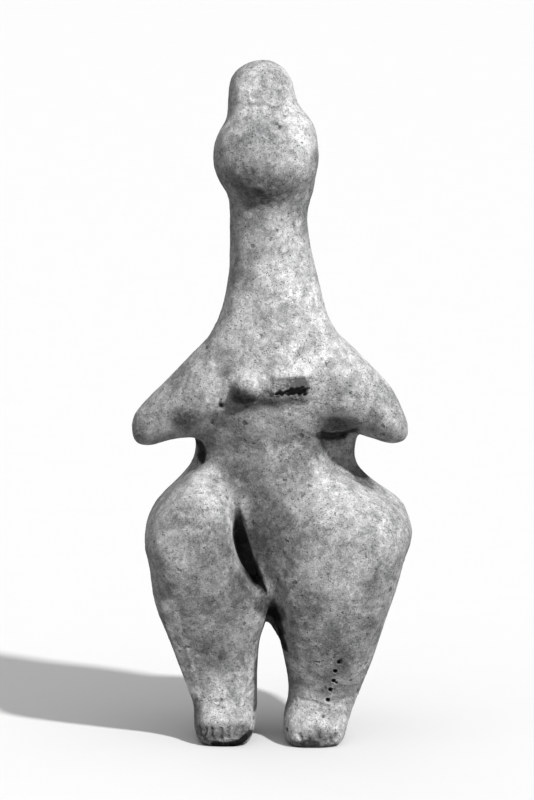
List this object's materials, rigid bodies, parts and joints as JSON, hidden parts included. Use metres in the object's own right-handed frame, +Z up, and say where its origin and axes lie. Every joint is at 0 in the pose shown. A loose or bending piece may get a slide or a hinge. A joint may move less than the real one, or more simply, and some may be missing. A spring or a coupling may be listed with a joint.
{
  "type": "cycladic figurine",
  "caption": "Standing fired-clay figurine: faceless round head with a topknot on a long flaring neck, stub arms, one breast broken off, wide hips, tapering legs and small feet.",
  "frame": {"origin": "on the plane of the soles, under the middle of the bounding box", "axes": "+Z up from the soles to the crown, -Y the way the figure faces, +X towards the figure's own left hand"},
  "size_m": [0.0902, 0.0586, 0.2199],
  "materials": {
    "fired_clay": "matt, weathered and finely pitted"
  },
  "bodies": {
    "root": {"figurine": "fired_clay"}
  },
  "joints": []
}
